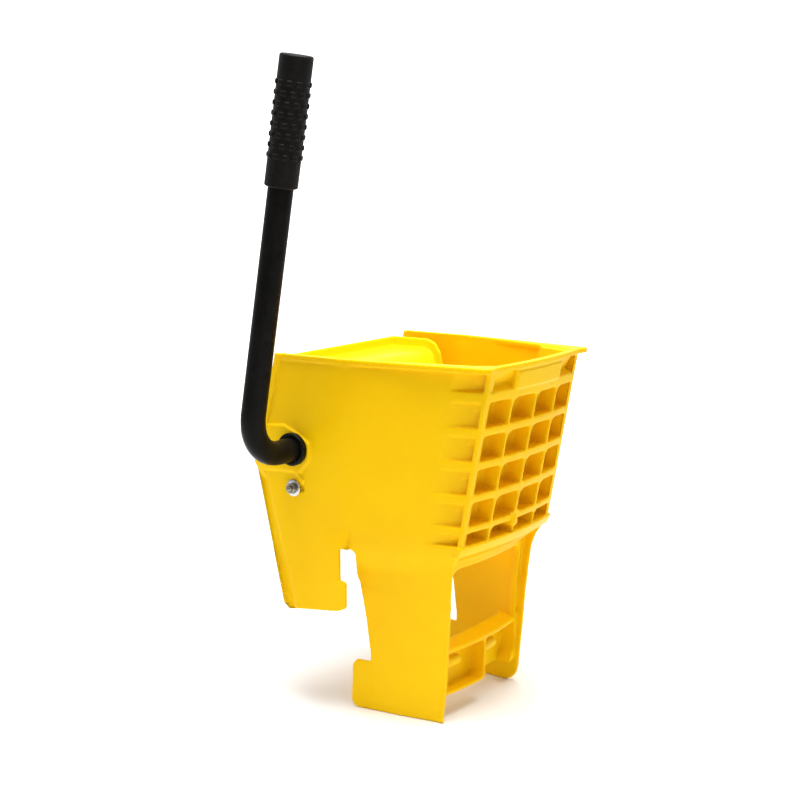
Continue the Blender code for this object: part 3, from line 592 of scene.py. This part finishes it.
def build_grip():
    """Sleeve with a smooth band at each end and eight rings of small raised pads."""
    length, core, pad_r, bore, edge = 126.0, 16.5, 17.8, 12.9, 2.2
    pad_rings, pitch, pad_h, first, per_ring = 8, 9.9, 5.6, 27.2, 11
    n = 176
    base = TOP - UP * (length - 4.0)
    u = Vector((cos(radians(LEAN)), 0, -sin(radians(LEAN))))
    v = Vector((0, 1, 0))

    def ring(h, radius_at):
        angles = [2 * pi * k / n for k in range(n)]
        return [P(*(base + UP * h + (u * cos(a) + v * sin(a)) * radius_at(a)))
                for a in angles]

    def pad_rise(h, a):
        """0 between the pads, 1 on top of one, at height h and angle a."""
        ring_no = int((h - first) // pitch)
        if not 0 <= ring_no < pad_rings:
            return 0.0
        dz = (h - first) - ring_no * pitch
        turn = (a * per_ring / (2 * pi) + (0.5 if ring_no % 2 else 0.0)) % 1.0
        arc = (0.5 - abs(turn - 0.5)) * 2 * pi * core / per_ring
        up = max(0.0, min(1.0, min(dz, pad_h - dz) / 1.1))
        return ease(up * max(0.0, min(1.0, arc - 1.5)))

    heights = [0.0, 0.5, 1.2] + [2.0 + k for k in range(23)]
    h = 25.4
    while h < 104.0:
        heights.append(h)
        h += 0.62
    heights += [104.5 + k * 1.6 for k in range(11)]

    rows = [ring(6.0, lambda a: bore), ring(0.0, lambda a: bore)]
    for h in heights:
        foot = max(0.0, 1.2 - h) ** 2 * 0.9
        rows.append(ring(h, lambda a: core + (pad_r - core) * pad_rise(h, a) - foot))
    # rounded upper edge and the nearly flat end
    for k in range(1, 7):
        t = radians(90 * k / 6)
        rows.append(ring(length - edge + edge * sin(t), lambda a: core - edge * (1 - cos(t))))
    for r in (10.0, 5.0, 1.0):
        rows.append(ring(length + 0.25 * (1 - r / 14.3), lambda a: r))
    return skin_rings("wringer_handle_grip", rows)


grip = build_grip()
dress(grip, M_GRIP, "handle", ["handle_grip"])

# ------------------------------------------------------------------ bushings and fasteners
WASHER_Y = PLATE_Y + 0.3
NUT_Y = WASHER_Y + 1.9
NUT_APOTHEM = 5.0
# cross section of a nut: y, limit of the radius as a share of the apothem, is it the bore
NUT = [(0.0, 1.0, False), (0.55, 1.16, False), (4.45, 1.16, False), (5.0, 1.0, False),
       (5.0, 0.7, True), (4.6, 0.62, True), (0.4, 0.62, True), (0.0, 0.7, True)]


def build_bushing(s, side):
    bore, body, flange = TUBE_R + 0.15, 14.8, 17.5
    inner, seat = PLATE_Y - 9.0, PLATE_Y + 2.75
    profile = [(bore, inner), (body, inner), (body, seat), (flange, seat), (flange, seat + 6.15),
               (14.4, seat + 6.35), (14.0, seat + 5.15), (bore, seat + 5.15)]
    corners = [0.2, 0.2, 0.2, 0.5, 1.4, 0.5, 0.3, 0.4]
    return lathe("wringer_bushing_" + side, SHAFT,
                 rounded([(r, s * y) for r, y in profile], corners), 96)


def build_washer(s, side):
    bore, rim, thick = 3.2, 9.0, 1.6
    profile = [(bore, WASHER_Y), (rim, WASHER_Y), (rim, WASHER_Y + thick), (bore, WASHER_Y + thick)]
    return lathe("wringer_rod_washer_" + side, ROD,
                 rounded([(r, s * y) for r, y in profile], 0.35, 3), 64)


def build_nut(s, side):
    n = 72
    rows = []
    for y, limit, bore in NUT:
        ring = []
        for k in range(n):
            a = 2 * pi * k / n
            hexagon = NUT_APOTHEM / cos((a + pi / 6) % (pi / 3) - pi / 6)
            outside = min(hexagon, NUT_APOTHEM * (1.0 if limit == 1.0 else 1.2))
            r = NUT_APOTHEM * limit if bore else outside
            ring.append(P(ROD.x + r * sin(a), s * (NUT_Y + y), ROD.z + r * cos(a)))
        rows.append(ring)
    return skin_rings("wringer_rod_nut_" + side, rows, close_loop=True)


for s, side in SIDES:
    bushing = build_bushing(s, side)
    dress(bushing, M_BUSH, "frame", ["bushing_" + side])
    washer = build_washer(s, side)
    dress(washer, M_ZINC, "frame", ["rod_washer_" + side])
    nut = build_nut(s, side)
    dress(nut, M_BOLT, "frame", ["rod_nut_" + side])


def build_rod():
    """Cross rod, threaded at both ends with a pitch of 1 mm."""
    end_y, n = 133.0, 48
    rows = []
    thread = [0.2 * k for k in range(76)]
    ys = [-end_y, -132.6] + [-132.2 + t for t in thread] + [-116.0, 116.0]
    ys += [117.2 + t for t in thread] + [132.6, end_y]
    for y in ys:
        ring = []
        end = end_y - abs(y)
        for k in range(n):
            a = 2 * pi * k / n
            r = 2.95
            if 0.5 < end < 16.2:
                r = 2.45 + 0.52 * (1 - abs(2 * ((abs(y) + a / (2 * pi)) % 1.0) - 1))
            elif end <= 0.5:
                r = 2.2 + 0.4 * end
            ring.append(P(ROD.x + r * cos(a), y, ROD.z + r * sin(a)))
        rows.append(ring)
    return skin_rings("wringer_cross_rod", rows)


rod = build_rod()
dress(rod, M_BOLT, "frame", ["cross_rod"])

# ------------------------------------------------------------------ springs
SPRING_Y, WIRE_R, COIL_R, HOOK_R = 55.0, 0.75, 5.0, 4.7
TURNS, STEPS, HOOK_LENGTH = 22, 22 * 18, 12.0
# where the two hooks sit: on the cross rod, and on the press plate
A0, A1 = Vector((ROD.x, 0, ROD.z)), Vector((45.0, 0, 290.0))
axis = (A1 - A0).normalized()


def spring_path():
    """Wire of a return spring in the middle plane: hook round A0, coil, hook round A1."""
    third = axis.cross(Vector((0, 1, 0)))
    run = (A1 - A0).length - 2 * HOOK_LENGTH

    def hook(centre, sign):
        return [centre + axis * (sign * HOOK_R * cos(radians(a))) +
                third * (sign * HOOK_R * sin(radians(a))) for a in range(-150, 151, 15)]

    coil = []
    for k in range(STEPS + 1):
        a = 2 * pi * TURNS * k / STEPS
        r = COIL_R * min(1.0, 0.35 + min(k, STEPS - k) / 14)
        coil.append(A0 + axis * (HOOK_LENGTH + run * k / STEPS) + third * (-r * cos(a)) +
                    Vector((0, r * sin(a), 0)))
    return hook(A0, -1) + coil + hook(A1, 1)


wire = spring_path()
for s, side in SIDES:
    spring = sweep("wringer_return_spring_" + side,
                   [p + Vector((0, s * SPRING_Y, 0)) for p in wire], WIRE_R, 8)
    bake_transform(dress(spring, M_SPRING, None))
    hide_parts("return_spring_" + side)

# ------------------------------------------------------------------ CAD nodes that stay
KEEP = {M_GEAR: ["pinion_near", "pinion_far", "gear_sector_near", "gear_sector_far"],
        M_ZINC: ["pinion_pin_near", "pinion_pin_far", "sector_screw_near_1",
                 "sector_screw_near_2", "sector_screw_far_1", "sector_screw_far_2",
                 "jaw_hinge_rod", "shaft_washer", "cotter_pin"]}
for mat, names in KEEP.items():
    for name in names:
        ob = NODE[name]
        ob.data.materials.clear()
        ob.data.materials.append(mat)
        bev = ob.modifiers.new("edge", "BEVEL")
        bev.width = 0.00035
        bev.segments = 2
        bev.limit_method = "ANGLE"
        bev.angle_limit = radians(40)

# ------------------------------------------------------------------ floor, light, camera; metres
FLOOR_HALF = 1.2
WHITE = (1.0, 1.0, 1.0, 1.0)
floor_me = bpy.data.meshes.new("studio_floor")
bm = bmesh.new()
bmesh.ops.create_grid(bm, x_segments=1, y_segments=1, size=FLOOR_HALF)
bm.to_mesh(floor_me)
bm.free()
floor = bpy.data.objects.new("studio_floor", floor_me)
bpy.context.scene.collection.objects.link(floor)
floor.location.z = -0.0004
fm = Nodes("pale_floor")
fm.link(fm.ramp(fm.noise(3.0, 3.0), [(0.3, (0.90, 0.90, 0.90)), (0.7, (0.93, 0.93, 0.93))]),
        fm.bsdf.inputs["Base Color"])
fm.set(Roughness=0.9)
floor_me.materials.append(fm.mat)

world = bpy.data.worlds.new("studio")
bpy.context.scene.world = world
world.use_nodes = True
wt = world.node_tree
sky = wt.nodes["Background"]
# light from all round, brighter from one side
coord = wt.nodes.new("ShaderNodeTexCoord")
dot = wt.nodes.new("ShaderNodeVectorMath")
dot.operation = "DOT_PRODUCT"
dot.inputs[1].default_value = (-0.55, 0.80, 0.22)
ramp = wt.nodes.new("ShaderNodeMapRange")
ramp.interpolation_type = "SMOOTHSTEP"
for key, value in (("From Min", -0.6), ("From Max", 0.55), ("To Min", 0.30), ("To Max", 0.86)):
    ramp.inputs[key].default_value = value
wt.links.new(coord.outputs["Generated"], dot.inputs[0])
wt.links.new(dot.outputs["Value"], ramp.inputs["Value"])
# the backdrop itself is seen plain white from every side
rays = wt.nodes.new("ShaderNodeLightPath")
brighter = wt.nodes.new("ShaderNodeMath")
brighter.operation = "ADD"
wt.links.new(ramp.outputs["Result"], brighter.inputs[0])
wt.links.new(rays.outputs["Is Camera Ray"], brighter.inputs[1])
wt.links.new(brighter.outputs["Value"], sky.inputs["Strength"])
sky.inputs["Color"].default_value = WHITE


def area(name, loc, size, power):
    """White softbox turned to the middle of the wringer."""
    li = bpy.data.lights.new(name, "AREA")
    li.shape = "RECTANGLE"
    li.size, li.size_y = size
    li.energy = power
    ob = bpy.data.objects.new(name, li)
    bpy.context.scene.collection.objects.link(ob)
    ob.location = loc
    ob.rotation_euler = (MID - Vector(loc)).to_track_quat("-Z", "Y").to_euler()


MID = Vector((0.0, 0.03, 0.3))
area("softbox_top", (0.15, -0.12, 2.1), (1.3, 1.3), 68.0)
area("softbox_right", (1.5, -1.1, 0.8), (1.0, 1.2), 1.5)

scene = bpy.context.scene
scene.view_settings.view_transform = "Standard"
scene.view_settings.look = "None"

AZ, EL = radians(34.23), radians(9.41)
cam = bpy.data.cameras.new("camera")
cam.sensor_width = 36.0
cam.lens = 69.237
cam_ob = bpy.data.objects.new("camera", cam)
scene.collection.objects.link(cam_ob)
cam_ob.location = (0.8977, -1.3327, 0.5967)
look = Vector((-sin(AZ) * cos(EL), cos(AZ) * cos(EL), -sin(EL)))
cam_ob.rotation_euler = look.to_track_quat("-Z", "Y").to_euler()
cam.clip_start, cam.clip_end = 0.05, 50.0
scene.camera = cam_ob
